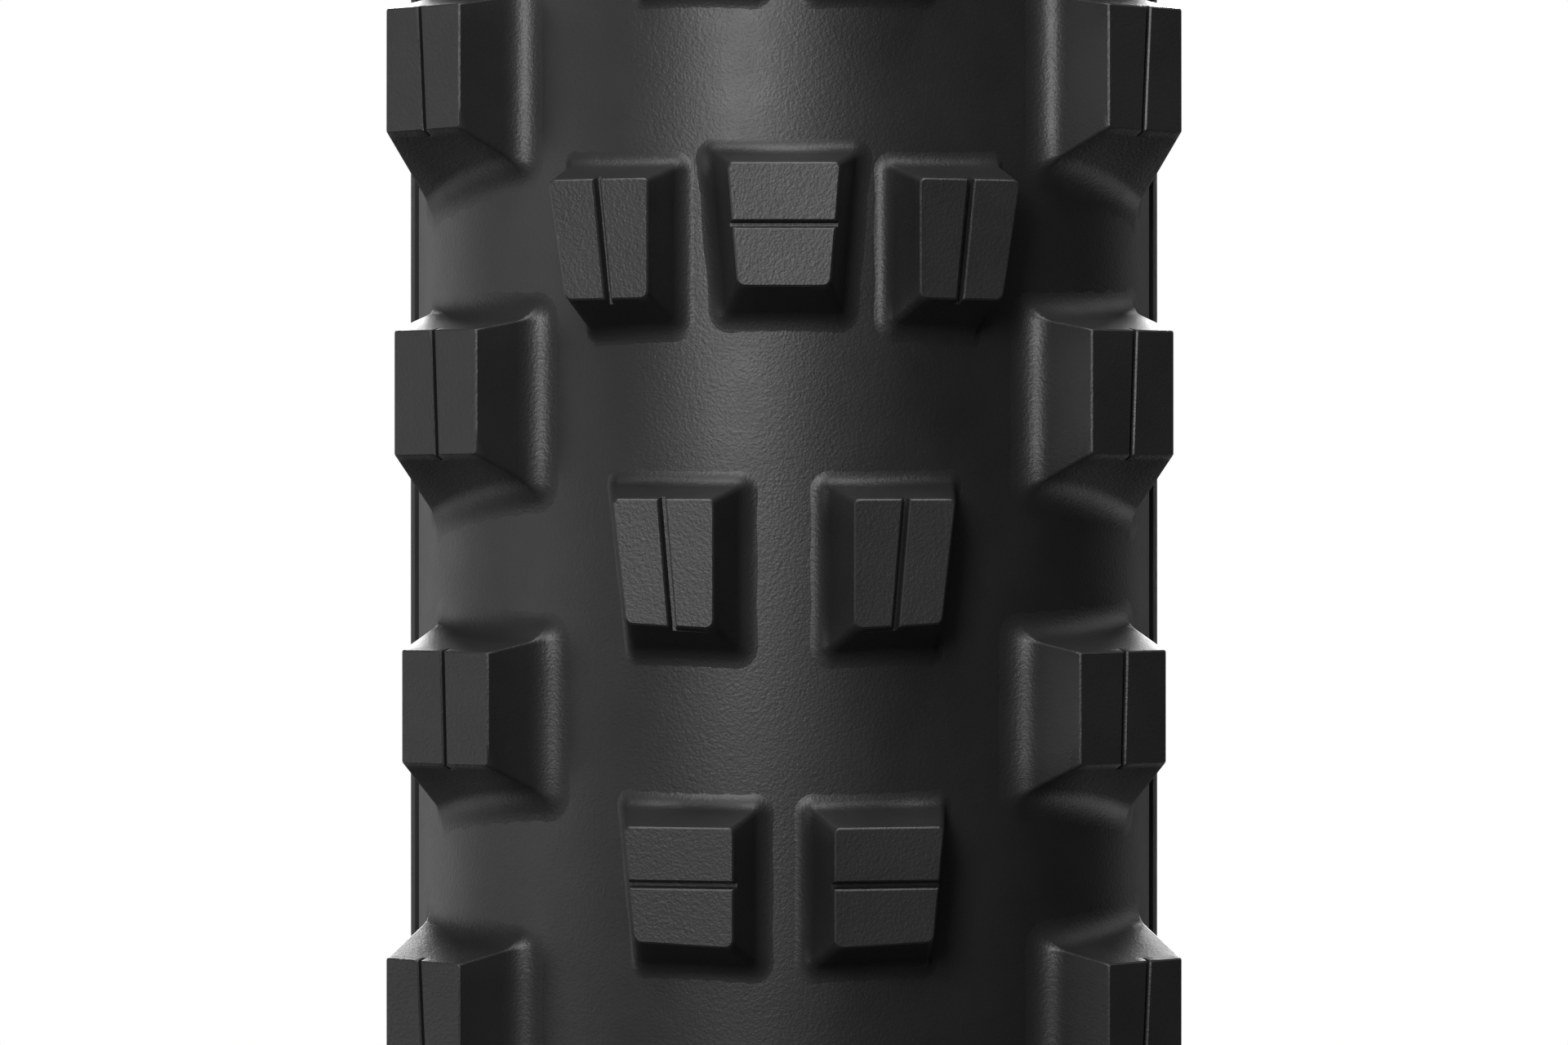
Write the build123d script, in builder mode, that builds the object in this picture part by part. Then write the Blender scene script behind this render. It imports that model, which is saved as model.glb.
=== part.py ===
"""Knobbed off-road tyre, bare (no rim, no tube), built up layer by layer as the real one is.

Frame: the origin is the wheel centre and the wheel spins about +Y. The tread repeats every
360/REPEATS degrees. Left is the -Y side and right is the +Y side. Millimetres.
"""

import os
from dataclasses import dataclass
from math import acos, atan2, cos, degrees, radians, sin, sqrt, tan

from build123d import *

os.makedirs("parts", exist_ok=True)

# ---- overall size ----
OUTSIDE_RADIUS = 377.0  # over the centre knobs
KNOB_HEIGHT = 5.5  # centre knob above the casing
CASING_RADIUS = 29.94  # round section of the casing, so 59.9 wide
BEAD_SEAT_RADIUS = 311.0  # the 622 mm rim standard
REPEATS = 30  # tread pattern repeats around the tyre
SECTION_CENTRE = OUTSIDE_RADIUS - KNOB_HEIGHT - CASING_RADIUS

# ---- casing layers, from the air side out ----
LINER_THICKNESS = 0.3
PLY_THICKNESS = 0.4
BREAKER_THICKNESS = 0.5
BREAKER_HALF_ANGLE = 52.0  # degrees either side of the crown
SIDE_RUBBER = 1.5  # rubber outside the plies at the widest point
LAYER_DROP = 0.4  # the layers sit this much nearer the hub, so the crown rubber is thicker
PLY_OUTER_FACE = CASING_RADIUS - SIDE_RUBBER
LINER_INNER_FACE = PLY_OUTER_FACE - 2 * PLY_THICKNESS - LINER_THICKNESS
TREAD_EDGE_ANGLE = 78.7  # where the tread rubber meets the sidewall rubber
CHAFER_EDGE_ANGLE = 124.0  # where the sidewall rubber meets the chafer strip

# ---- beads ----
CORE_RADIUS = 1.3  # bundle of bead wire
CORE_LATERAL = 14.3
CORE_CLEARANCE = 0.16  # how far the core stands off the round of the plies
TURN_UP_OUTER_PLY = 108.0  # degrees around the section where each turned-up ply ends
TURN_UP_INNER_PLY = 116.0
CHAFER_THICKNESS = 0.55
SEAT_INNER, SEAT_OUTER = 11.4, 15.7  # lateral span of the cylindrical bead seat
HEEL_HEIGHT = 0.5
TOE_LIFT = 0.9
LINER_END = -105.0  # where the liner stops around the core, degrees

# ---- knobs ----
KNOB_REACH = 13.0  # how far a knob is drawn down before the casing trims it
SIPE_DEPTH = 0.9


def polar(centre, radius, angle):
    """A point of the section at an angle from straight out towards +Y, as (radial, lateral)."""
    return (
        centre[0] + radius * cos(radians(angle)),
        centre[1] + radius * sin(radians(angle)),
    )


def arc(centre, radius, start, end):
    """An arc of the section, between two angles measured as in polar."""
    ends = [polar(centre, radius, a) for a in (start, (start + end) / 2, end)]
    return ThreePointArc(*ends)


CASING = (SECTION_CENTRE, 0.0)
LAYERS = (SECTION_CENTRE - LAYER_DROP, 0.0)
CORE_DISTANCE = PLY_OUTER_FACE + CORE_RADIUS + CORE_CLEARANCE
CORE = (LAYERS[0] - sqrt(CORE_DISTANCE**2 - CORE_LATERAL**2), CORE_LATERAL)
CORE_ANGLE = degrees(atan2(CORE[1], CORE[0] - LAYERS[0]))
# The plies leave the round at DOWN_ANGLE, pass inside the core, wrap under it and come back
# to the round, outside the main plies, at UP_ANGLE.
DOWN_ANGLE = CORE_ANGLE - degrees(acos((PLY_OUTER_FACE + CORE_RADIUS) / CORE_DISTANCE))
UP_ANGLE = CORE_ANGLE - degrees(acos((PLY_OUTER_FACE - CORE_RADIUS) / CORE_DISTANCE))
FILLER_TIP_ANGLE = UP_ANGLE + 9.0
FILLER_HEEL_TURN = 40.0  # degrees round the core from where the plies leave it
FILLER_FLATS = 5  # the filler's long side touches the plies' round in this many flats


def layer_edge(depth, wrap_end):
    """The edge of a layer, depth outside the core, from the crown to an angle around the core."""
    arc(LAYERS, PLY_OUTER_FACE - depth, 0, DOWN_ANGLE)
    Line(
        polar(LAYERS, PLY_OUTER_FACE - depth, DOWN_ANGLE),
        polar(CORE, CORE_RADIUS + depth, DOWN_ANGLE - 180),
    )
    arc(CORE, CORE_RADIUS + depth, DOWN_ANGLE - 180, wrap_end)


def ply_edge(depth, end_angle):
    """The edge of a ply, from the crown around the core to its turned-up end."""
    layer_edge(depth, UP_ANGLE - 360)
    Line(
        polar(CORE, CORE_RADIUS + depth, UP_ANGLE),
        polar(LAYERS, PLY_OUTER_FACE + depth, UP_ANGLE),
    )
    arc(LAYERS, PLY_OUTER_FACE + depth, UP_ANGLE, end_angle)


def ply_sketch(depth, end_angle):
    """Section of one ply, on both sides of the crown, with its turned-up ends."""
    with BuildSketch() as ply:
        with BuildLine():
            for edge in (depth, depth + PLY_THICKNESS):
                ply_edge(edge, end_angle)
            Line(
                polar(LAYERS, PLY_OUTER_FACE - depth, 0),
                polar(LAYERS, PLY_OUTER_FACE - depth - PLY_THICKNESS, 0),
            )
            Line(
                polar(LAYERS, PLY_OUTER_FACE + depth, end_angle),
                polar(LAYERS, PLY_OUTER_FACE + depth + PLY_THICKNESS, end_angle),
            )
        make_face()
        mirror(about=Plane.XZ)
    return ply.sketch


def band_sketch(inner, outer, half_angle):
    """Section of a band that follows the layers over the crown."""
    with BuildSketch() as band:
        with BuildLine():
            for radius in (inner, outer):
                arc(LAYERS, radius, -half_angle, half_angle)
            for side in (-half_angle, half_angle):
                Line(polar(LAYERS, inner, side), polar(LAYERS, outer, side))
        make_face()
    return band.sketch


def sector_sketch(start, end, reach=60.0):
    """The part of the section plane between two angles around the casing's centre."""
    steps = max(2, round((end - start) / 30) + 1)
    rim = [polar(CASING, reach, start + (end - start) * k / (steps - 1)) for k in range(steps)]
    with BuildSketch() as sector:
        with BuildLine():
            Polyline(CASING, *rim, close=True)
        make_face()
    return sector.sketch


def ring(sketch):
    """A section turned about the wheel axis."""
    with BuildPart() as turned:
        add(sketch)
        revolve(axis=Axis.Y)
    return turned.part


def layer_sketch(material, taken_by, within=None):
    """Part of the whole rubber section, less the layers that already fill it."""
    with BuildSketch() as layer:
        add(material)
        if within:
            add(within, mode=Mode.INTERSECT)
        for other in taken_by:
            add(other, mode=Mode.SUBTRACT)
    return layer.sketch


# ---- the whole section on the +Y side, skin to air side ----
LINER_DEPTH = 2 * PLY_THICKNESS + LINER_THICKNESS
SKIN_DEPTH = 2 * PLY_THICKNESS + CHAFER_THICKNESS
skin_meets = (CASING_RADIUS, UP_ANGLE + 1.0)
heel_top = polar(CORE, CORE_RADIUS + SKIN_DEPTH, UP_ANGLE)
with BuildSketch() as whole_side:
    with BuildLine():
        arc(CASING, CASING_RADIUS, 0, skin_meets[1])
        Line(polar(CASING, *skin_meets), heel_top)
        Polyline(
            heel_top,
            (BEAD_SEAT_RADIUS + HEEL_HEIGHT, SEAT_OUTER + HEEL_HEIGHT),
            (BEAD_SEAT_RADIUS, SEAT_OUTER),
            (BEAD_SEAT_RADIUS, SEAT_INNER),
            (BEAD_SEAT_RADIUS + TOE_LIFT, SEAT_INNER - TOE_LIFT / 2),
            polar(CORE, CORE_RADIUS + LINER_DEPTH, LINER_END),
        )
        layer_edge(LINER_DEPTH, LINER_END)
        Line(
            polar(LAYERS, PLY_OUTER_FACE - LINER_DEPTH, 0),
            polar(CASING, CASING_RADIUS, 0),
        )
    make_face()

breaker = band_sketch(PLY_OUTER_FACE, PLY_OUTER_FACE + BREAKER_THICKNESS, BREAKER_HALF_ANGLE)

with BuildSketch() as core:
    with Locations(CORE):
        Circle(CORE_RADIUS)

# The apex filler fills the wedge between the core, the plies going down and coming back up.
# Above FILLER_TIP_ANGLE, and within FILLER_HEEL_TURN of where the plies leave the core, the
# wedge is too thin for it, and the outer ply's own rubber closes it.
tip_radius = PLY_OUTER_FACE / cos(radians(FILLER_TIP_ANGLE - UP_ANGLE))
heel_run = CORE_RADIUS * sin(radians(FILLER_HEEL_TURN))
up_heel = polar(polar(CORE, CORE_RADIUS, UP_ANGLE), heel_run, UP_ANGLE - 90)
down_heel = polar(polar(CORE, CORE_RADIUS, DOWN_ANGLE - 180), heel_run, DOWN_ANGLE - 90)
flat_turn = (DOWN_ANGLE - FILLER_TIP_ANGLE) / FILLER_FLATS
flat_radius = PLY_OUTER_FACE / cos(radians(flat_turn / 2))
flats = [
    polar(LAYERS, flat_radius, FILLER_TIP_ANGLE + (k + 0.5) * flat_turn)
    for k in range(FILLER_FLATS)
]
with BuildSketch() as filler:
    with BuildLine():
        Polyline(
            up_heel,
            polar(LAYERS, tip_radius, FILLER_TIP_ANGLE),
            polar(LAYERS, PLY_OUTER_FACE, FILLER_TIP_ANGLE),
            *flats,
            down_heel,
            polar(CORE, CORE_RADIUS, DOWN_ANGLE - 180 + FILLER_HEEL_TURN),
            CORE,
            polar(CORE, CORE_RADIUS, UP_ANGLE - FILLER_HEEL_TURN),
            up_heel,
        )
    make_face()
    add(core.sketch, mode=Mode.SUBTRACT)

with BuildSketch() as liner:
    with BuildLine():
        depths = (2 * PLY_THICKNESS, LINER_DEPTH)
        for depth in depths:
            layer_edge(depth, LINER_END)
        Line(*[polar(LAYERS, PLY_OUTER_FACE - d, 0) for d in depths])
        Line(*[polar(CORE, CORE_RADIUS + d, LINER_END) for d in depths])
    make_face()
    mirror(about=Plane.XZ)

# The outer ply closes around the core and the filler, so they are taken out of its loop.
with BuildSketch() as bead_inside:
    add(core.sketch)
    add(filler.sketch)
    mirror(about=Plane.XZ)
outer_ply = ply_sketch(0.0, TURN_UP_OUTER_PLY) - bead_inside.sketch
inner_ply = ply_sketch(PLY_THICKNESS, TURN_UP_INNER_PLY)

laid_up = [outer_ply, inner_ply, core.sketch, filler.sketch, liner.sketch]
with BuildSketch() as tread_section:
    add(whole_side.sketch)
    mirror(about=Plane.XZ)
    add(sector_sketch(-TREAD_EDGE_ANGLE, TREAD_EDGE_ANGLE), mode=Mode.INTERSECT)
    for taken in (outer_ply, inner_ply, breaker, liner.sketch):
        add(taken, mode=Mode.SUBTRACT)
sidewall = layer_sketch(
    whole_side.sketch, laid_up, sector_sketch(TREAD_EDGE_ANGLE, CHAFER_EDGE_ANGLE)
)
chafer = layer_sketch(whole_side.sketch, laid_up, sector_sketch(CHAFER_EDGE_ANGLE, 178.0))


def save(part, node):
    """Write one finished piece."""
    part.label = node
    export_step(part, f"parts/{node}.step")
    print(node, len(part.solids()), round(part.volume, 1))


def save_pair(right_part, node):
    """Write a piece of the +Y side and its mirror image on the -Y side."""
    with BuildPart() as left:
        mirror(right_part, about=Plane.XZ)
    save(right_part, f"{node}_right")
    save(left.part, f"{node}_left")


save(ring(liner.sketch), "inner_liner")
save(ring(inner_ply), "casing_ply_inner")
save(ring(outer_ply), "casing_ply_outer")
save(ring(breaker), "tread_breaker")
save(ring(tread_section.sketch), "tread_base")
save_pair(ring(core.sketch), "bead_core")
save_pair(ring(filler.sketch), "bead_filler")
save_pair(ring(chafer), "chafer")
save_pair(ring(sidewall), "sidewall")


@dataclass
class Knob:
    """One knob of the repeat, on the +Y side. Lead is the edge further on in +Z over +X."""

    name: str
    angle: float  # middle of the knob around the wheel, degrees
    length: float  # along the tread
    inner: float  # lateral place of the edge nearer the crown
    outer_lead: float  # lateral place of the other edge, at its two ends
    outer_trail: float
    middle: tuple  # lateral place and height over the section centre of the top face
    tilt: float  # lean of the top face towards +Y, degrees
    drafts: tuple  # of the inner, outer, leading and trailing walls, degrees
    skew: float = 0.0  # extra length of the trailing end at the inner edge
    sipe_along: tuple = ()  # lateral place at its two ends, for a sipe along the tread
    sipe_across: bool = False  # a sipe across the knob, halfway along
    sipe_width: float = 0.6


centre = Knob(
    name="centre_knobs",
    angle=3.61,
    length=9.87,
    inner=-4.50,
    outer_lead=4.50,
    outer_trail=3.69,
    middle=(0.0, CASING_RADIUS + KNOB_HEIGHT),
    tilt=0.0,
    drafts=(12.5, 12.5, 11.7, 21.0),
    sipe_across=True,
)
row_a = Knob(
    name="row_a_knobs",
    angle=3.458,
    length=9.60,
    inner=10.85,
    outer_lead=18.80,
    outer_trail=17.41,
    middle=(14.80, 32.33),
    tilt=18.0,
    drafts=(10.0, 2.5, 14.0, 21.0),
    sipe_along=(14.94, 14.03),
    sipe_width=0.55,
)
row_b = Knob(
    name="row_b_knobs",
    angle=-0.473,
    length=9.92,
    inner=5.61,
    outer_lead=13.68,
    outer_trail=12.57,
    middle=(9.68, 34.15),
    tilt=11.0,
    drafts=(13.8, 10.0, 11.2, 21.0),
    skew=0.4,
    sipe_along=(9.74, 8.90),
)
row_c = Knob(
    name="row_c_knobs",
    angle=-4.402,
    length=9.21,
    inner=4.05,
    outer_lead=12.75,
    outer_trail=11.91,
    middle=(8.37, 34.46),
    tilt=10.0,
    drafts=(11.5, 10.0, 12.0, 21.0),
    skew=0.4,
    sipe_across=True,
)
shoulder_1 = Knob(
    name="shoulder_1_knobs",
    angle=5.705,
    length=9.99,
    inner=25.90,
    outer_lead=31.77,
    outer_trail=31.77,
    middle=(28.84, 23.05),
    tilt=35.3,
    drafts=(20.0, 17.1, 11.0, 25.0),
    sipe_along=(29.13, 28.71),
    sipe_width=0.28,
)
shoulder_2 = Knob(
    name="shoulder_2_knobs",
    angle=1.625,
    length=10.01,
    inner=24.53,
    outer_lead=31.11,
    outer_trail=31.11,
    middle=(27.82, 23.77),
    tilt=35.0,
    drafts=(20.0, 17.1, 11.0, 25.0),
    sipe_along=(28.03, 27.72),
    sipe_width=0.3,
)
shoulder_3 = Knob(
    name="shoulder_3_knobs",
    angle=-2.32,
    length=9.07,
    inner=23.61,
    outer_lead=30.50,
    outer_trail=30.50,
    middle=(27.06, 24.32),
    tilt=35.2,
    drafts=(20.0, 17.1, 11.0, 25.0),
    sipe_along=(27.26, 27.06),
    sipe_width=0.3,
)


def face_outline(knob, depth):
    """Corners of the knob in planes parallel to its top face, depth below it."""
    inner_out, outer_out, lead_out, trail_out = (depth * tan(radians(d)) for d in knob.drafts)
    lean = cos(radians(knob.tilt))
    inner_lead = inner_trail = (knob.inner - knob.middle[0]) / lean
    if knob.sipe_across and knob.middle[0] == 0.0:
        inner_lead, inner_trail = -knob.outer_lead, -knob.outer_trail
    outer_lead = (knob.outer_lead - knob.middle[0]) / lean
    outer_trail = (knob.outer_trail - knob.middle[0]) / lean
    lead, trail = knob.length / 2, -knob.length / 2
    # Each side line moves out by its draft and runs on to the moved ends.
    outer_slope = (outer_lead - outer_trail) / knob.length
    inner_slope = (inner_lead - inner_trail) / knob.length
    trail_slope = knob.skew / (outer_trail - inner_trail)

    def corner(side, slope, out, end, end_slope, far):
        across = side + out * sqrt(1 + slope**2)
        along = end + end_slope * (side - far)
        across += slope * (along - (lead if end > 0 else trail))
        return across, along

    return [
        corner(inner_lead, inner_slope, -inner_out, lead + lead_out, 0.0, outer_lead),
        corner(outer_lead, outer_slope, outer_out, lead + lead_out, 0.0, outer_lead),
        corner(outer_trail, outer_slope, outer_out, trail - trail_out, 0.0, outer_trail),
        corner(
            inner_trail, inner_slope, -inner_out, trail - trail_out, trail_slope, outer_trail
        ),
    ]


def knob_plane(knob):
    """The plane of the top face, with x across the tread and y along it."""
    lean, height = radians(knob.tilt), SECTION_CENTRE + knob.middle[1]
    return Plane(
        origin=(height, knob.middle[0], 0),
        x_dir=(-sin(lean), cos(lean), 0),
        z_dir=(cos(lean), sin(lean), 0),
    )


with BuildPart() as casing_round:
    with BuildSketch():
        with Locations(CASING):
            Circle(CASING_RADIUS)
    revolve(axis=Axis.Y)


def knob_part(knob):
    """One knob, standing on the casing, at its place around the wheel."""
    top = knob_plane(knob)
    lean = cos(radians(knob.tilt))
    with BuildPart() as block:
        for depth in (0.0, KNOB_REACH):
            with BuildSketch(top.offset(-depth)):
                with BuildLine():
                    Polyline(*face_outline(knob, depth), close=True)
                make_face()
        loft(ruled=True)
        if knob.sipe_across:
            with BuildSketch(top):
                Rectangle(60, knob.sipe_width)
            extrude(amount=-SIPE_DEPTH, mode=Mode.SUBTRACT)
        if knob.sipe_along:
            lead, trail = ((p - knob.middle[0]) / lean for p in knob.sipe_along)
            turn = degrees(atan2(trail - lead, knob.length))
            with BuildSketch(top):
                with Locations(((lead + trail) / 2, 0)):
                    Rectangle(knob.sipe_width, 3 * knob.length, rotation=turn)
            extrude(amount=-SIPE_DEPTH, mode=Mode.SUBTRACT)
        add(casing_round.part, mode=Mode.SUBTRACT)
    return block.part.rotate(Axis.Y, -knob.angle)


def knob_row(knob):
    """The same knob at every repeat."""
    one = knob_part(knob)
    with BuildPart() as row:
        add([one.rotate(Axis.Y, n * 360 / REPEATS) for n in range(REPEATS)])
    return row.part


save(knob_row(centre), centre.name)
for kind in (row_a, row_b, row_c, shoulder_1, shoulder_2, shoulder_3):
    save_pair(knob_row(kind), kind.name)
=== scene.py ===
"""Looks of the knobbed tyre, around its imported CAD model.

The tyre's own lengths are in millimetres. The floor's, lights' and camera's are in metres.
"""

from dataclasses import dataclass
from math import cos, pi, radians, sin, tan

import bpy
import numpy as np
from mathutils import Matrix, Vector


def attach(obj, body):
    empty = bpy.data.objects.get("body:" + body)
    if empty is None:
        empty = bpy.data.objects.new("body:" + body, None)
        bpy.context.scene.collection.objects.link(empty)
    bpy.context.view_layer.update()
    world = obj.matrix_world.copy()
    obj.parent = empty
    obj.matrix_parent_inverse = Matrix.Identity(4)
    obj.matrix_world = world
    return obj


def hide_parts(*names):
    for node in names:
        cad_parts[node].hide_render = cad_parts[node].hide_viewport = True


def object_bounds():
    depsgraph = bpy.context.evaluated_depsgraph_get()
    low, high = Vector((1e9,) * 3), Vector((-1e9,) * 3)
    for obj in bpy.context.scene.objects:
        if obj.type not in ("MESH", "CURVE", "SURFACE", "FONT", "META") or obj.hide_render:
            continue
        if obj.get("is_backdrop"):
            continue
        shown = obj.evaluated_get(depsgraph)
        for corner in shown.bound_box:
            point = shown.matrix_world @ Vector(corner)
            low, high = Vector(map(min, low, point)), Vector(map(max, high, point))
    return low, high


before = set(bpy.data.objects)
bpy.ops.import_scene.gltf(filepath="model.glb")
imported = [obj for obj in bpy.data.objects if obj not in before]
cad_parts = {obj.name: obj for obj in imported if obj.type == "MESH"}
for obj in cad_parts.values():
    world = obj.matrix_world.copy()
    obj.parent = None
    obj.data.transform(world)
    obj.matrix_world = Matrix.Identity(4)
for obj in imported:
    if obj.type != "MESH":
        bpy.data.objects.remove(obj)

cad_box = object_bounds()
MM = 0.001

# ---- sizes shared with the CAD model ----
# A place in the tyre's section is (radial, lateral). An angle round the section is in degrees,
# from straight outward at the crown.
OUTSIDE_RADIUS = 377.0  # over the centre knobs
KNOB_HEIGHT = 5.5  # centre knob above the casing
CASING_RADIUS = 29.94  # of the casing's round section
SECTION_CENTRE = OUTSIDE_RADIUS - KNOB_HEIGHT - CASING_RADIUS
REPEATS = 30  # tread pattern repeats around the tyre
SIPE_DEPTH = 0.9
KNOB_REACH = 13.0  # how far down a knob's walls are drawn before the casing trims them
TREAD_EDGE_ANGLE = 78.7  # where the tread rubber meets the sidewall rubber
CHAFER_EDGE_ANGLE = 124.0  # where the sidewall rubber meets the chafer
TREAD_THICKNESS, SIDEWALL_THICKNESS = 1.5, 0.6
LAYER_DROP = 0.4  # the layers sit this much nearer the hub than the casing's round
CASING, LAYERS = (SECTION_CENTRE, 0.0), (SECTION_CENTRE - LAYER_DROP, 0.0)
PLY_OUTER_FACE = CASING_RADIUS - TREAD_THICKNESS
PLIES = 0.8  # both plies together
LINER_THICKNESS = 0.3
LINER_END = -105.0  # where the liner stops round the bead core, degrees
CORE, CORE_RADIUS = (314.90, 14.30), 1.3
DOWN_ANGLE, UP_ANGLE = 145.50, 126.62  # where the plies leave their round and come back to it
SKIN_MEETS = 127.62  # where the skin leaves the casing's round for the bead
BEAD_SEAT_RADIUS = 311.0
SEAT_INNER, SEAT_OUTER = 11.4, 15.7
HEEL_HEIGHT, TOE_LIFT = 0.5, 0.9
CHAFER_THICKNESS = 0.55

# ---- fine shape that only the looks have ----
EDGE_CHAMFER = 0.11  # the crisp bright edge around each knob's top
LEAD_CORNER_ROUND, TRAIL_CORNER_ROUND = 0.45, 0.65
SIPE_CORNER_ROUND, LEAST_CORNER_ROUND = 0.08, 0.03
SIPE_TAPER = 0.28  # each wall of a sipe leans in by this share of its width
FILLET_REACH = 1.25  # how far the fillet at a knob's foot runs up the wall and out on the casing
FOOT_SINK = 0.03  # the fillet's edge dips this far under the casing
MOULDED_LINES = (  # on the casing's skin: angle, height and half width in degrees
    (TREAD_EDGE_ANGLE - 0.35, -0.24, 0.75),  # groove at the tread's edge
    (TREAD_EDGE_ANGLE + 0.75, 0.16, 0.6),  # ridge beside it
    (113.5, 0.18, 0.8),  # two fitting lines low on the sidewall
    (118.0, 0.34, 0.8),
)
EDGE_LINE = 1.5  # how far the lines at the tread's edge reach to each side, degrees

# ---- how finely curves are cut ----
EDGE_STEPS, CORNER_STEPS, FILLET_STEPS = 5, 4, 6
AROUND_STEPS = 360
HALVINGS = 40  # of the line from a knob's wall down to the casing
SMOOTH_ANGLE = radians(32)  # sharper edges than this stay crisp


@dataclass
class Knob:
    """One knob of the repeat, on the +Y side, as in the CAD model."""

    node: str
    angle: float  # middle of the knob around the wheel, degrees
    length: float  # along the tread
    inner: float  # lateral place of the edge nearer the crown
    outer_lead: float  # lateral place of the other edge, at its two ends
    outer_trail: float
    middle: tuple  # lateral place and height over the section centre of the top face
    tilt: float  # lean of the top face towards +Y, degrees
    drafts: tuple  # of the inner, outer, leading and trailing walls, degrees
    skew: float = 0.0  # extra length of the trailing end at the inner edge
    sipe_along: tuple = ()  # lateral place at its two ends, or none for a sipe across the knob
    sipe_width: float = 0.6
    fillet: float = FILLET_REACH
    outer_fillet: float = 0.45  # share of the fillet on the outer side, where the wall is steep
    corners: float = 1.0  # share of the usual roundness of the top's corners


def shoulder_knob(number, outer, **own):
    """A knob at the tread's edge. Its outer side is straight and its fillet is wide."""
    return Knob(
        node=f"shoulder_{number}_knobs",
        outer_lead=outer,
        outer_trail=outer,
        drafts=(20.0, 17.1, 11.0, 25.0),
        fillet=2.2,
        outer_fillet=1.0,
        corners=0.45,
        **own,
    )


KNOBS = [
    Knob(
        node="centre_knobs",
        angle=3.61,
        length=9.87,
        inner=-4.50,
        outer_lead=4.50,
        outer_trail=3.69,
        middle=(0.0, CASING_RADIUS + KNOB_HEIGHT),
        tilt=0.0,
        drafts=(12.5, 12.5, 11.7, 21.0),
        outer_fillet=1.0,
    ),
    Knob(
        node="row_a_knobs",
        angle=3.458,
        length=9.60,
        inner=10.85,
        outer_lead=18.80,
        outer_trail=17.41,
        middle=(14.80, 32.33),
        tilt=18.0,
        drafts=(10.0, 2.5, 14.0, 21.0),
        sipe_along=(14.94, 14.03),
        sipe_width=0.55,
        outer_fillet=0.3,
    ),
    Knob(
        node="row_b_knobs",
        angle=-0.473,
        length=9.92,
        inner=5.61,
        outer_lead=13.68,
        outer_trail=12.57,
        middle=(9.68, 34.15),
        tilt=11.0,
        drafts=(13.8, 10.0, 11.2, 21.0),
        skew=0.4,
        sipe_along=(9.74, 8.90),
    ),
    Knob(
        node="row_c_knobs",
        angle=-4.402,
        length=9.21,
        inner=4.05,
        outer_lead=12.75,
        outer_trail=11.91,
        middle=(8.37, 34.46),
        tilt=10.0,
        drafts=(11.5, 10.0, 12.0, 21.0),
        skew=0.4,
    ),
    shoulder_knob(
        number=1,
        angle=5.705,
        length=9.99,
        inner=25.90,
        outer=31.77,
        middle=(28.84, 23.05),
        tilt=35.3,
        sipe_along=(29.13, 28.71),
        sipe_width=0.28,
    ),
    shoulder_knob(
        number=2,
        angle=1.625,
        length=10.01,
        inner=24.53,
        outer=31.11,
        middle=(27.82, 23.77),
        tilt=35.0,
        sipe_along=(28.03, 27.72),
        sipe_width=0.3,
    ),
    shoulder_knob(
        number=3,
        angle=-2.32,
        length=9.07,
        inner=23.61,
        outer=30.50,
        middle=(27.06, 24.32),
        tilt=35.2,
        sipe_along=(27.26, 27.06),
        sipe_width=0.3,
    ),
]


# ---- outlines in the plane of a knob's top face: x across the tread, y along it ----
def unit(vectors):
    """Rows scaled to length 1."""
    return vectors / np.linalg.norm(vectors, axis=-1, keepdims=True)


def moved_corners(corners, moves):
    """Corners of a polygon, anticlockwise, once each side k has moved out by moves[k]."""
    corners = np.array(corners)
    along = unit(np.roll(corners, -1, axis=0) - corners)
    normals = np.stack([along[:, 1], -along[:, 0]], axis=1)
    reach = (corners * normals).sum(1) + moves
    out = []
    for k in range(len(corners)):
        sides = np.array([normals[k - 1], normals[k]])
        out.append(np.linalg.solve(sides, [reach[k - 1], reach[k]]))
    return np.array(out)


def corner_arc(before, here, after, radius):
    """Points and outward normals round one corner, and the normal of the side that follows."""
    into, away = unit(here - before), unit(after - here)
    normal_in, normal_out = np.array([into[1], -into[0]]), np.array([away[1], -away[0]])
    turn = np.arccos(np.clip(into @ away, -1, 1))
    centre = here - (normal_in + normal_out) / (1 + into @ away) * radius
    angles = np.arctan2(normal_in[1], normal_in[0]) + turn * np.arange(CORNER_STEPS + 1) / CORNER_STEPS
    arc_normals = np.stack([np.cos(angles), np.sin(angles)], axis=1)
    return centre + radius * arc_normals, arc_normals, normal_out


def rounded(corners, radii):
    """Points and outward normals along a polygon, with each corner rounded to its own radius."""
    neighbours = zip(np.roll(corners, 1, axis=0), corners, np.roll(corners, -1, axis=0), radii)
    arcs = [corner_arc(*corner) for corner in neighbours]
    shares = np.arange(1, EDGE_STEPS)[:, None]
    points, normals = [], []
    for k, (arc, arc_normals, side_normal) in enumerate(arcs):
        last, first = arc[-1], arcs[(k + 1) % len(arcs)][0][0]
        points += [*arc, *(last + (first - last) * shares / EDGE_STEPS)]
        normals += [*arc_normals, *[side_normal] * len(shares)]
    return np.array(points), np.array(normals)


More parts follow.
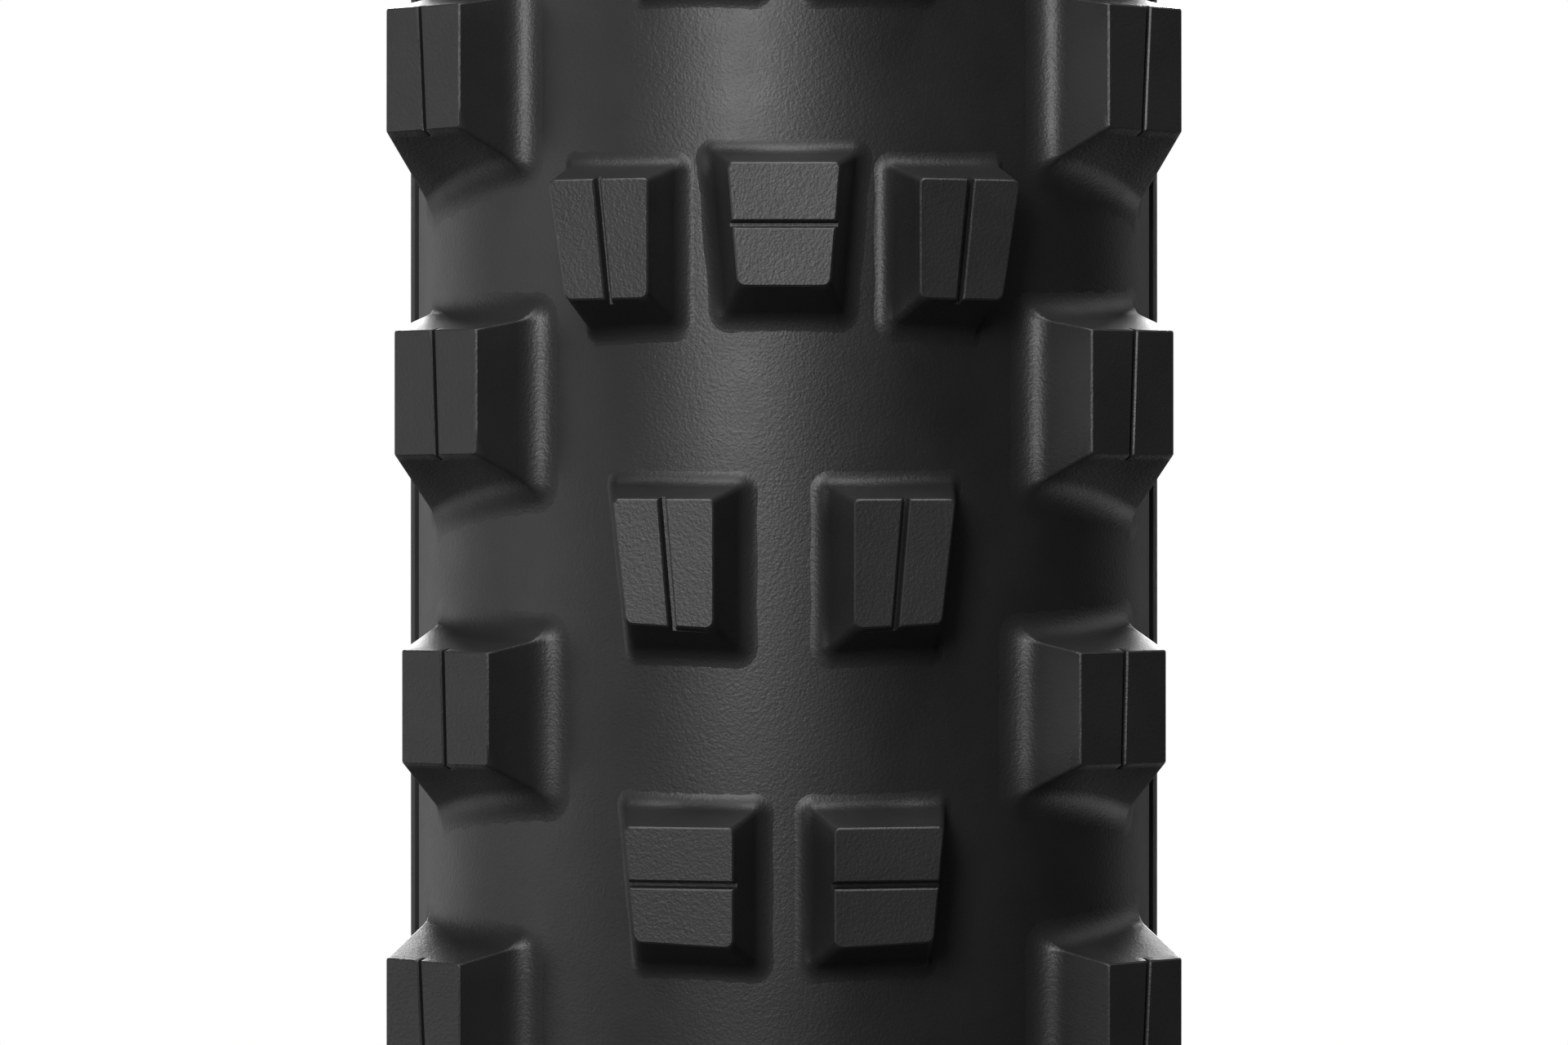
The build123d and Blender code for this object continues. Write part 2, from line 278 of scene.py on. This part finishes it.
def top_corners(knob):
    """Corners of the top face, anticlockwise from the inner trailing one, and each side's slope."""
    lean = cos(radians(knob.tilt))
    inner_lead = inner_trail = (knob.inner - knob.middle[0]) / lean
    if knob.middle[0] == 0.0:  # the centre knob is the same on both sides
        inner_lead, inner_trail = -knob.outer_lead, -knob.outer_trail
    outer_lead = (knob.outer_lead - knob.middle[0]) / lean
    outer_trail = (knob.outer_trail - knob.middle[0]) / lean
    half = knob.length / 2
    corners = [
        (inner_trail, -half - knob.skew),
        (outer_trail, -half),
        (outer_lead, half),
        (inner_lead, half),
    ]
    inner, outer, lead, trail = (tan(radians(d)) for d in knob.drafts)
    return np.array(corners), np.array([trail, outer, lead, inner])


def corner_radii(knob):
    """How round the corners of the top face are, in the order of top_corners."""
    trail, lead = TRAIL_CORNER_ROUND * knob.corners, LEAD_CORNER_ROUND * knob.corners
    return np.array([trail, trail, lead, lead])


def side_point(start, end, axis, value):
    """The point of a side of the top face whose place along an axis is value."""
    return start + (end - start) * (value - start[axis]) / (end[axis] - start[axis])


def halves(knob):
    """The two blocks that the sipe leaves of the top, as (corners, side slopes, corner radii)."""
    (inner_trail, outer_trail, outer_lead, inner_lead), (trail, outer, lead, inner) = top_corners(knob)
    trail_round, _, lead_round, _ = corner_radii(knob)
    cut, cut_round = SIPE_TAPER * knob.sipe_width / SIPE_DEPTH, SIPE_CORNER_ROUND
    half = knob.sipe_width / 2
    if knob.sipe_along:
        lean = cos(radians(knob.tilt))
        at_lead, at_trail = ((place - knob.middle[0]) / lean for place in knob.sipe_along)
        cut_lead = side_point(inner_lead, outer_lead, 0, at_lead)
        cut_trail = side_point(inner_trail, outer_trail, 0, at_trail)
        gap = np.array([half, 0])
        first = [inner_trail, cut_trail - gap, cut_lead - gap, inner_lead]
        second = [cut_trail + gap, outer_trail, outer_lead, cut_lead + gap]
        first_slopes, second_slopes = (trail, cut, lead, inner), (trail, outer, lead, cut)
        first_rounds = (trail_round, cut_round, cut_round, lead_round)
        second_rounds = (cut_round, trail_round, lead_round, cut_round)
    else:
        sides = (outer_trail, outer_lead), (inner_trail, inner_lead)
        outer_below, inner_below = (side_point(*side, 1, -half) for side in sides)
        outer_above, inner_above = (side_point(*side, 1, half) for side in sides)
        first = [inner_trail, outer_trail, outer_below, inner_below]
        second = [inner_above, outer_above, outer_lead, inner_lead]
        first_slopes, second_slopes = (trail, outer, cut, inner), (cut, outer, lead, inner)
        first_rounds = (trail_round, trail_round, cut_round, cut_round)
        second_rounds = (cut_round, cut_round, lead_round, lead_round)
    return [
        (first, np.array(first_slopes), np.array(first_rounds)),
        (second, np.array(second_slopes), np.array(second_rounds)),
    ]


# ---- from the top face's plane to the wheel ----
ALONG = np.array([0, 0, 1.0])


def top_axes(knob):
    """Directions across the top face and straight off it, before the knob is turned to its angle."""
    lean = radians(knob.tilt)
    return np.array([-sin(lean), cos(lean), 0]), np.array([cos(lean), sin(lean), 0])


def to_wheel(knob, points, depth):
    """Places in the row frame of points at a depth under the top face."""
    across, out = top_axes(knob)
    origin = np.array([SECTION_CENTRE + knob.middle[1], knob.middle[0], 0])
    return origin + points[:, :1] * across + points[:, 1:] * ALONG - depth * out


def above_casing(points):
    """Height over the round of the casing, and the direction straight off it."""
    wheel = np.hypot(points[:, 0], points[:, 2])
    section = np.hypot(wheel - SECTION_CENTRE, points[:, 1])
    part = (wheel - SECTION_CENTRE) / section / wheel
    off = np.stack([points[:, 0] * part, points[:, 1] / section, points[:, 2] * part], axis=1)
    return section - CASING_RADIUS, off


class Shell:
    """Vertices and faces gathered from rings of points."""

    def __init__(self):
        self.points, self.faces = [], []

    def add(self, rings):
        """Joins equal rings with quads. The first ring is closed with one flat face."""
        base = sum(len(ring) for ring in self.points)
        count = len(rings[0])
        self.points += rings
        for k in range(len(rings) - 1):
            a, b = base + k * count, base + (k + 1) * count
            for i in range(count):
                j = (i + 1) % count
                self.faces.append((a + i, b + i, b + j, a + j))
        self.faces.append(tuple(base + i for i in range(count)))


def block_rings(knob, corners, slopes, radii):
    """One block of the top, from its chamfered edge down to the sipe's floor."""
    rings = []
    for depth, inset in ((0.0, EDGE_CHAMFER), (EDGE_CHAMFER, 0.0), (SIPE_DEPTH, 0.0)):
        outline = moved_corners(corners, slopes * depth - inset)
        flat, _ = rounded(outline, np.maximum(radii - inset, LEAST_CORNER_ROUND))
        rings.append(to_wheel(knob, flat, depth))
    return rings


def meet_casing(start, down):
    """The places where lines from start meet the casing, found by halving."""
    low, high = np.zeros(len(start)), np.ones(len(start))
    for _ in range(HALVINGS):
        middle = (low + high) / 2
        over = above_casing(start + down * middle[:, None])[0] > 0
        low, high = np.where(over, middle, low), np.where(over, high, middle)
    return start + down * low[:, None]


def body_rings(knob):
    """The knob's body, from the sipe's floor down its walls and out along the fillet."""
    corners, slopes = top_corners(knob)
    radii = corner_radii(knob)
    flat, normals = rounded(moved_corners(corners, slopes * SIPE_DEPTH), radii)
    start = to_wheel(knob, flat, SIPE_DEPTH)
    flat, _ = rounded(moved_corners(corners, slopes * KNOB_REACH), radii)
    down = to_wheel(knob, flat, KNOB_REACH) - start
    foot = meet_casing(start, down)
    down = unit(down)

    # At the foot, away runs out along the casing. The fillet is an arc from the wall to it.
    across, _ = top_axes(knob)
    away = normals[:, :1] * across + normals[:, 1:] * ALONG
    _, off = above_casing(foot)
    away = unit(away - (away * off).sum(1)[:, None] * off)
    weight = np.sqrt((1 + (down * away).sum(1)) / 2)[:, None]
    facing_out = np.clip(normals[:, :1], 0, 1) ** 2
    reach = knob.fillet * (1 - (1 - knob.outer_fillet) * facing_out)
    first, last = foot - reach * down, foot + reach * away
    bulge = above_casing(last)[0][:, None]
    rings = [start]
    for t in np.arange(FILLET_STEPS + 1) / FILLET_STEPS:
        a, b, c = (1 - t) ** 2, 2 * weight * t * (1 - t), t**2
        ring = (a * first + b * foot + c * last) / (a + b + c)
        _, off = above_casing(ring)
        rings.append(ring - off * (bulge * c + FOOT_SINK * t**4))
    return rings


def knob_shell(knob):
    """One knob at angle 0: two top blocks beside the sipe, and a body that flares out below."""
    shell = Shell()
    for block in halves(knob):
        shell.add(block_rings(knob, *block))
    shell.add(body_rings(knob))
    return np.concatenate(shell.points), shell.faces


def turned(points, angle):
    """Points carried round the wheel, from +X towards +Z."""
    c, s = cos(radians(angle)), sin(radians(angle))
    x, z = points[:, 0] * c - points[:, 2] * s, points[:, 0] * s + points[:, 2] * c
    return np.stack([x, points[:, 1], z], axis=1)


def make_piece(name, points, faces, nodes, material):
    """A mesh piece in place of CAD nodes, riding on the row's body."""
    mesh = bpy.data.meshes.new(name)
    mesh.from_pydata((points * MM).tolist(), [], faces)
    mesh.validate()
    mesh.shade_smooth()
    mesh.set_sharp_from_angle(angle=SMOOTH_ANGLE)
    # A knob's top and its sipe's floor are single faces with many corners, and stay flat.
    mesh.polygons.foreach_set("use_smooth", [len(p.vertices) == 4 for p in mesh.polygons])
    piece = bpy.data.objects.new(name, mesh)
    bpy.context.scene.collection.objects.link(piece)
    mesh.materials.append(material)
    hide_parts(*nodes)
    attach(piece, "root")


def knob_row(knob, side, name, node, material):
    """Every repeat of a knob on one side. side is 1 for +Y and -1 for -Y."""
    points, faces = knob_shell(knob)
    if side > 0:
        faces = [tuple(reversed(f)) for f in faces]
    points = points * np.array([1, side, 1])
    rows, all_faces = [], []
    for n in range(REPEATS):
        rows.append(turned(points, knob.angle + n * 360 / REPEATS))
        all_faces += [tuple(v + n * len(points) for v in f) for f in faces]
    make_piece(name, np.concatenate(rows), all_faces, [node], material)


# ---- surfaces of revolution ----
def bump(angle, centre, half_width):
    """A smooth rise from 0 to 1 and back, over half_width each side of centre."""
    share = np.clip(np.abs(angle - centre) / half_width, 0, 1)
    return (1 - share**2) ** 2


def skin_point(angle):
    """The casing's skin at an angle round the section, with its moulded lines."""
    lines = sum(height * bump(angle, place, width) for place, height, width in MOULDED_LINES)
    return polar(CASING, CASING_RADIUS + lines, angle)


def polar(centre, radius, angle):
    """A point of the section round a centre."""
    a = radians(angle)
    return centre[0] + radius * cos(a), centre[1] + radius * sin(a)


def sweep(centre, radius, start, end, steps):
    """Points of the section along an arc."""
    return [polar(centre, radius, a) for a in np.linspace(start, end, steps)]


def skin(*stretches):
    """Points of the casing's skin, in stretches of (start angle, end angle, points)."""
    return [skin_point(a) for stretch in stretches for a in np.linspace(*stretch)]


def flipped(points):
    """The same section points on the other side of the wheel."""
    return [(r, -y) for r, y in points]


def ring_piece(name, profile, side, nodes, material):
    """A closed section, turned about the wheel axis. side is 1 as drawn and -1 mirrored."""
    profile = np.array(profile) * np.array([1, side])
    count = len(profile)
    points, faces = [], []
    for k in range(AROUND_STEPS):
        a = 2 * pi * k / AROUND_STEPS
        x, z = profile[:, 0] * cos(a), profile[:, 0] * sin(a)
        points.append(np.stack([x, profile[:, 1], z], axis=1))
        here, there = k * count, (k + 1) % AROUND_STEPS * count
        for i in range(count):
            j = (i + 1) % count
            face = (here + i, here + j, there + j, there + i)
            faces.append(face if side > 0 else face[::-1])
    make_piece(name, np.concatenate(points), faces, nodes, material)


def tread_profile():
    """The whole section of the tread rubber, closed along the layers under it."""
    plain_end = TREAD_EDGE_ANGLE - EDGE_LINE
    outer = skin((0, plain_end, 49), (plain_end + 0.1, TREAD_EDGE_ANGLE, 11))
    under = sweep(CASING, CASING_RADIUS - TREAD_THICKNESS, TREAD_EDGE_ANGLE, 0, 13)
    return flipped(outer)[:0:-1] + outer + under + flipped(under)[-2::-1]


def sidewall_profile():
    """The section of a sidewall, from the tread's edge to the chafer. Steps are fine at its lines."""
    edge_line = (TREAD_EDGE_ANGLE, TREAD_EDGE_ANGLE + EDGE_LINE, 13)
    fitting_lines = (112.5, 119.5, 36)
    outer = skin(edge_line, (81, 112, 22), fitting_lines, (120, CHAFER_EDGE_ANGLE, 6))
    inside = CASING_RADIUS - SIDEWALL_THICKNESS
    return outer + sweep(CASING, inside, CHAFER_EDGE_ANGLE, TREAD_EDGE_ANGLE, 16)


def layer_edge(depth):
    """The edge of a layer, from the crown down and round the core, to the liner's end."""
    down = sweep(LAYERS, PLY_OUTER_FACE - depth, 0, DOWN_ANGLE, 40)
    return down + sweep(CORE, CORE_RADIUS + depth, DOWN_ANGLE - 180, LINER_END, 10)


def liner_profile():
    """The whole section of the liner."""
    outer, inner = layer_edge(PLIES), layer_edge(PLIES + LINER_THICKNESS)
    return flipped(outer)[:0:-1] + outer + inner[::-1] + flipped(inner)[1:]


def chafer_profile():
    """The section of the chafer: the tyre's skin round the bead, and the plies' side of it."""
    face = sweep(CASING, CASING_RADIUS, CHAFER_EDGE_ANGLE, SKIN_MEETS, 4)
    face += [
        polar(CORE, CORE_RADIUS + PLIES + CHAFER_THICKNESS, UP_ANGLE),
        (BEAD_SEAT_RADIUS + HEEL_HEIGHT, SEAT_OUTER + HEEL_HEIGHT),
        (BEAD_SEAT_RADIUS, SEAT_OUTER),
        (BEAD_SEAT_RADIUS, SEAT_INNER),
        (BEAD_SEAT_RADIUS + TOE_LIFT, SEAT_INNER - TOE_LIFT / 2),
        polar(CORE, CORE_RADIUS + PLIES + LINER_THICKNESS, LINER_END),
    ]
    back = sweep(CORE, CORE_RADIUS + PLIES, LINER_END, UP_ANGLE - 360, 14)
    back += [
        polar(LAYERS, PLY_OUTER_FACE + PLIES, UP_ANGLE),
        polar(CASING, CASING_RADIUS - SIDEWALL_THICKNESS, CHAFER_EDGE_ANGLE),
    ]
    return face + back


# ---- materials ----
NOISE_LOW, NOISE_HIGH = 0.32, 0.68  # nearly all of the noise texture's values lie between these
RUBBER_TONES = (0.85, 1.15)  # darkest and lightest patches, as shares of the tone
GRAIN_CELLS, GRAIN_CLOUDS = 0.5, 0.4  # how much of the rubber's grain is cells, and how much noise
WEAVE_FUZZ = 0.25  # how much noise there is on the cords
UNROLL_RADIUS = 340.0  # the ribs on the unrolled tyre have their true pitch at this radius


class Look:
    """A procedural material while it is being put together. Sizes are in millimetres."""

    def __init__(self, name, metallic=0.0, specular=0.5):
        self.material = bpy.data.materials.new(name)
        self.material.use_nodes = True
        self.nodes = self.material.node_tree.nodes
        self.links = self.material.node_tree.links
        self.shader = self.nodes["Principled BSDF"]
        self.shader.inputs["Metallic"].default_value = metallic
        self.shader.inputs["Specular IOR Level"].default_value = specular
        self.place = self.nodes.new("ShaderNodeTexCoord").outputs["Object"]

    def feed(self, socket, value):
        """Gives a socket a number or another node's output."""
        if isinstance(value, (int, float)):
            socket.default_value = value
        else:
            self.links.new(value, socket)

    def math(self, operation, *values):
        """The output of a maths node fed with numbers or other nodes' outputs."""
        node = self.nodes.new("ShaderNodeMath")
        node.operation = operation
        for socket, value in zip(node.inputs, values):
            self.feed(socket, value)
        return node.outputs[0]

    def noise(self, size, detail):
        """Cloudy noise whose blotches are about size across, from 0 to 1."""
        node = self.nodes.new("ShaderNodeTexNoise")
        node.inputs["Scale"].default_value = 1 / (size * MM)
        node.inputs["Detail"].default_value = detail
        self.links.new(self.place, node.inputs["Vector"])
        return self.spread(node.outputs["Fac"], (NOISE_LOW, NOISE_HIGH), (0.0, 1.0))

    def cells(self, size):
        """Rounded cells, like the grain of leather."""
        node = self.nodes.new("ShaderNodeTexVoronoi")
        node.feature = "SMOOTH_F1"
        node.inputs["Scale"].default_value = 1 / (size * MM)
        node.inputs["Smoothness"].default_value = 0.6
        self.links.new(self.place, node.inputs["Vector"])
        return node.outputs["Distance"]

    def ribs(self, pitch, turn):
        """Ridges of a pitch on the unrolled tyre, turned by degrees from running across it."""
        x, y, z = self.apart(self.place)
        around = self.math("MULTIPLY", self.math("ARCTAN2", z, x), UNROLL_RADIUS * MM)
        along = self.math("MULTIPLY", around, 2 * pi / (pitch * MM) * cos(radians(turn)))
        wide = self.math("MULTIPLY", y, 2 * pi / (pitch * MM) * sin(radians(turn)))
        wave = self.math("SINE", self.math("ADD", along, wide))
        return self.math("MULTIPLY_ADD", wave, 0.5, 0.5)

    def rings(self, pitch):
        """Ridges of a pitch that run round the wheel on its side."""
        x, _, z = self.apart(self.place)
        squares = self.math("ADD", self.math("MULTIPLY", x, x), self.math("MULTIPLY", z, z))
        turns = self.math("MULTIPLY", self.math("SQRT", squares), 2 * pi / (pitch * MM))
        return self.math("MULTIPLY_ADD", self.math("SINE", turns), 0.5, 0.5)

    def apart(self, vector):
        """The three parts of a vector."""
        node = self.nodes.new("ShaderNodeSeparateXYZ")
        self.links.new(vector, node.inputs[0])
        return node.outputs

    def spread(self, value, span, onto):
        """A value in one span of numbers, carried over onto another."""
        node = self.nodes.new("ShaderNodeMapRange")
        for socket, number in zip(("From Min", "From Max", "To Min", "To Max"), (*span, *onto)):
            node.inputs[socket].default_value = number
        self.links.new(value, node.inputs["Value"])
        return node.outputs["Result"]

    def colour(self, dark, light, share):
        """Colours the surface from dark at share 0 to light at share 1."""
        node = self.nodes.new("ShaderNodeMix")
        node.data_type = "RGBA"
        node.inputs["A"].default_value = (*dark, 1)
        node.inputs["B"].default_value = (*light, 1)
        self.links.new(share, node.inputs["Factor"])
        self.links.new(node.outputs["Result"], self.shader.inputs["Base Color"])

    def roughness(self, low, high, share):
        """Makes the surface as rough as low at share 0 and high at share 1."""
        self.links.new(self.spread(share, (0, 1), (low, high)), self.shader.inputs["Roughness"])

    def relief(self, height, depth):
        """Raises the surface by up to depth where height is 1."""
        node = self.nodes.new("ShaderNodeBump")
        node.inputs["Distance"].default_value = depth * MM
        self.links.new(height, node.inputs["Height"])
        self.links.new(node.outputs["Normal"], self.shader.inputs["Normal"])


def rubber(name, tone, roughness, grain, grain_size, specular=0.5):
    """Moulded rubber: fine leathery grain, slow changes of tone and a slightly uneven sheen."""
    look = Look(name, specular=specular)
    dark, light = ((tone * share,) * 3 for share in RUBBER_TONES)
    look.colour(dark, light, look.noise(size=9, detail=4))
    look.roughness(roughness - 0.015, roughness + 0.02, look.noise(size=2.5, detail=5))
    cells = look.math("MULTIPLY", look.cells(grain_size), GRAIN_CELLS)
    clouds = look.noise(size=grain_size * 1.6, detail=5)
    look.relief(look.math("MULTIPLY_ADD", clouds, GRAIN_CLOUDS, cells), grain)
    return look.material


def cord_rubber(name, dark, light, pitch, turns, depth, roughness=0.55):
    """Rubber with fabric in it: cords of a pitch show through, at one or two angles."""
    look = Look(name, specular=0.3)
    cords = look.ribs(pitch, turns[0])
    for turn in turns[1:]:
        cords = look.math("MAXIMUM", cords, look.ribs(pitch, turn))
    look.colour(dark, light, look.math("MULTIPLY", cords, look.noise(size=6, detail=4)))
    look.roughness(roughness - 0.05, roughness + 0.08, look.noise(size=2.0, detail=4))
    fuzz = look.noise(size=0.3, detail=4)
    look.relief(look.math("MULTIPLY_ADD", fuzz, WEAVE_FUZZ, cords), depth)
    return look.material


def wire(name, dark, light, pitch, depth):
    """The bead bundle: strands of brassy steel wire that run round the wheel."""
    look = Look(name, metallic=1.0)
    strands = look.rings(pitch)
    look.colour(dark, light, look.noise(size=3, detail=5))
    look.roughness(0.28, 0.45, look.noise(size=1.2, detail=4))
    look.relief(strands, depth)
    return look.material


tread_rubber = rubber("tread_rubber", tone=0.0165, roughness=0.43, grain=0.023, grain_size=0.2)
sidewall_rubber = rubber(
    "sidewall_rubber", tone=0.0165, roughness=0.58, grain=0.016, grain_size=0.24, specular=0.15
)
filler_rubber = rubber(
    "filler_rubber", tone=0.024, roughness=0.6, grain=0.03, grain_size=0.5, specular=0.3
)
chafer_rubber = cord_rubber(
    "chafer_rubber", dark=(0.011,) * 3, light=(0.017,) * 3, pitch=0.9, turns=(45, -45), depth=0.05
)
liner_rubber = cord_rubber(
    "liner_rubber",
    dark=(0.013,) * 3,
    light=(0.021,) * 3,
    pitch=3.2,
    turns=(28,),
    depth=0.06,
    roughness=0.42,
)
ply_fabric = cord_rubber(
    "ply_fabric",
    dark=(0.02, 0.014, 0.009),
    light=(0.10, 0.07, 0.045),
    pitch=0.8,
    turns=(0,),
    depth=0.08,
)
breaker_fabric = cord_rubber(
    "breaker_fabric",
    dark=(0.02, 0.016, 0.01),
    light=(0.13, 0.10, 0.06),
    pitch=1.0,
    turns=(65,),
    depth=0.1,
)
bead_wire = wire(
    "bead_wire", dark=(0.30, 0.22, 0.12), light=(0.55, 0.43, 0.27), pitch=0.9, depth=0.12
)
CAD_LOOKS = {  # for the CAD nodes whose names start so
    "casing_ply": ply_fabric,
    "tread_breaker": breaker_fabric,
    "bead_core": bead_wire,
    "bead_filler": filler_rubber,
}

# ---- pieces ----
SIDES = ((1, "right"), (-1, "left"))
for knob in KNOBS:
    if knob.node == "centre_knobs":
        knob_row(knob, 1, "tread_centre_knobs", knob.node, tread_rubber)
        continue
    for side, word in SIDES:
        node = f"{knob.node}_{word}"
        knob_row(knob, side, f"tread_{node}", node, tread_rubber)

ring_piece("tread_skin", tread_profile(), 1, ["tread_base"], tread_rubber)
ring_piece("liner_skin", liner_profile(), 1, ["inner_liner"], liner_rubber)
for side, word in SIDES:
    for part, profile, slot, material in (
        ("sidewall", sidewall_profile(), "sidewall_rubber", sidewall_rubber),
        ("chafer", chafer_profile(), "chafer_rubber", chafer_rubber),
    ):
        ring_piece(f"{part}_skin_{word}", profile, side, [f"{part}_{word}"], material)

for name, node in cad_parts.items():
    for start, look in CAD_LOOKS.items():
        if name.startswith(start):
            for slot in node.material_slots:
                slot.material = look

# ---- floor, light and camera ----
FLOOR_HALF = 2.0
FLOOR_GLOW = 0.70  # keeps it evenly pale
BACKDROP_SEEN, BACKDROP_LIGHT = 1.0, 0.032  # how bright the backdrop looks, and how much it lights
TREAD_FRONT = (0.371, 0.0, 0.0)
CAMERA_DISTANCE = 3.9
FRAME_WIDTH = 0.12551  # what the frame spans at SHARP_RADIUS, midway from casing edge to shoulders
SHARP_RADIUS = 0.350
SENSOR = 36.0

scene = bpy.context.scene
scene.view_settings.view_transform = "Standard"


def floor_paint():
    """A plain matt grey that glows white."""
    paint = bpy.data.materials.new("floor_paint")
    paint.use_nodes = True
    shader = paint.node_tree.nodes["Principled BSDF"]
    shader.inputs["Base Color"].default_value = (0.12, 0.12, 0.12, 1)
    shader.inputs["Roughness"].default_value = 0.9
    shader.inputs["Specular IOR Level"].default_value = 0.0
    shader.inputs["Emission Color"].default_value = (1, 1, 1, 1)
    shader.inputs["Emission Strength"].default_value = FLOOR_GLOW
    return paint


def add_floor(height):
    """A pale floor that is seen and lit, but neither lights the tyre nor blocks the low lights."""
    mesh = bpy.data.meshes.new("floor")
    signs = ((-1, -1), (1, -1), (1, 1), (-1, 1))
    corners = [(x * FLOOR_HALF, y * FLOOR_HALF, height) for x, y in signs]
    mesh.from_pydata(corners, [], [(0, 1, 2, 3)])
    mesh.materials.append(floor_paint())
    floor = bpy.data.objects.new("floor", mesh)
    scene.collection.objects.link(floor)
    floor.visible_diffuse = False
    floor.visible_glossy = False
    floor.visible_shadow = False
    floor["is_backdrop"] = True


def add_backdrop():
    """A white backdrop for the camera, which throws only a little light on the tyre."""
    world = bpy.data.worlds.new("studio")
    world.use_nodes = True
    scene.world = world
    nodes, links = world.node_tree.nodes, world.node_tree.links
    backdrop = nodes["Background"]
    backdrop.inputs["Color"].default_value = (1, 1, 1, 1)
    seen = nodes.new("ShaderNodeLightPath").outputs["Is Camera Ray"]
    level = nodes.new("ShaderNodeMapRange")
    level.inputs["To Min"].default_value = BACKDROP_LIGHT
    level.inputs["To Max"].default_value = BACKDROP_SEEN
    links.new(seen, level.inputs["Value"])
    links.new(level.outputs["Result"], backdrop.inputs["Strength"])


def area_light(name, place, aim, size, power):
    """A rectangular light at a place, shining against aim, which the camera doesn't see."""
    data = bpy.data.lights.new(name, "AREA")
    data.shape = "RECTANGLE"
    data.size, data.size_y = size
    data.energy = power
    light = bpy.data.objects.new(name, data)
    light.location = place
    light.rotation_euler = aim.to_track_quat("Z", "Y").to_euler()
    light.visible_camera = False
    scene.collection.objects.link(light)
    return light


def softbox(name, left, up, distance, size, power):
    """A soft light aimed at the tread's front. left and up are degrees off the camera's line."""
    a, e = radians(left), radians(up)
    aim = Vector((cos(a) * cos(e), -sin(a) * cos(e), sin(e)))
    area_light(name, Vector(TREAD_FRONT) + aim * distance, aim, size, power)


def rear_light(name, place, target, size, power, spread):
    """A beam for the sides and back of the wheel, clear of the tread's front."""
    place, target = Vector(place), Vector(target)
    light = area_light(name, place, (place - target).normalized(), size, power)
    light.data.spread = radians(spread)


def add_camera():
    """A long lens on the photographed side of the wheel, level with its centre."""
    data = bpy.data.cameras.new("camera")
    data.sensor_width = SENSOR
    data.lens = SENSOR * CAMERA_DISTANCE / FRAME_WIDTH
    data.clip_start, data.clip_end = 0.1, 50
    camera = bpy.data.objects.new("camera", data)
    camera.location = (SHARP_RADIUS + CAMERA_DISTANCE, 0, 0)
    camera.rotation_euler = (pi / 2, 0, pi / 2)
    scene.collection.objects.link(camera)
    scene.camera = camera


add_floor(float(cad_box[0][2]))
add_backdrop()

# Most light comes from the front and above. Weaker boxes behind the tyre's sides and below
# light the walls of the knobs. Each has degrees left and up, distance, size and watts.
softbox("key", 12, 30, 1.7, (0.4, 0.7), 7)
softbox("front", 14, 14, 1.7, (0.4, 0.7), 14)
softbox("top", 10, 78, 1.3, (1.0, 0.8), 15)
softbox("left_fill", 80, 0, 1.5, (0.9, 0.9), 3.9)
softbox("left_rim", 124, 5, 1.5, (0.6, 1.2), 2.4)
softbox("left_back", 143, 5, 1.5, (0.6, 1.2), 1.6)
softbox("left_low", 135, -35, 1.5, (0.6, 0.8), 1.4)
softbox("right_back", -142, 5, 1.6, (0.5, 1.2), 0.8)
softbox("right_low", -135, -35, 1.5, (0.6, 0.8), 1.6)
softbox("right_high", -130, 35, 1.5, (0.6, 0.8), 1.2)
softbox("low", 15, -35, 1.5, (0.8, 0.6), 1.1)
# The rear lights have a place, a target, a size, watts and a spread in degrees.
rear_light("side_left", (-0.9, -2.2, 0.5), (-0.206, 0, 0), (0.36, 1.2), 6, 15)
rear_light("side_right", (-0.9, 2.2, 0.5), (-0.206, 0, 0), (0.36, 1.2), 6, 15)
rear_light("back", (-2.4, 0, 0.7), (-0.3, 0, 0), (1.4, 0.9), 22, 100)
add_camera()

boxes = {"cad": cad_box, "visual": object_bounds()}
boxes = {name: [[float(v) for v in corner] for corner in box] for name, box in boxes.items()}
